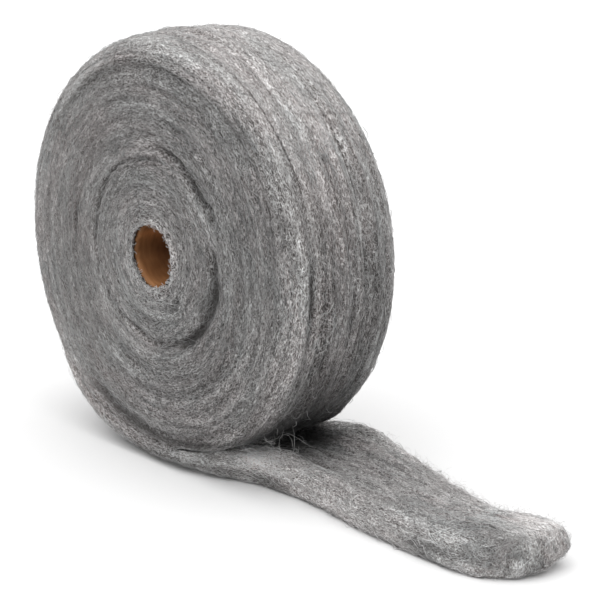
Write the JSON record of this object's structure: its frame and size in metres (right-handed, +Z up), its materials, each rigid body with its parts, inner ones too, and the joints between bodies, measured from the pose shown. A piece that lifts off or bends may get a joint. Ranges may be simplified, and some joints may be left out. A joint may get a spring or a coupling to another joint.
{
  "type": "steel wool roll",
  "caption": "Strip of steel wool wound on a cardboard core, standing on its rim with the free end along the floor.",
  "frame": {"origin": "on the floor, straight below the roll's axis and halfway across the wound strip", "axes": "+X runs along the free end, Y is the axis of the roll with the face that shows in the picture at -Y, +Z is up"},
  "size_m": [0.4766, 0.1106, 0.3117],
  "materials": {
    "steel_wool": "matted fine steel fibres, dull grey with a soft sheen",
    "cardboard": "spiral-wound brown kraft board, matt, ragged at the cut ends"
  },
  "bodies": {
    "root": {"steel_wool_roll": "steel_wool", "cardboard_core": "cardboard"}
  },
  "joints": []
}
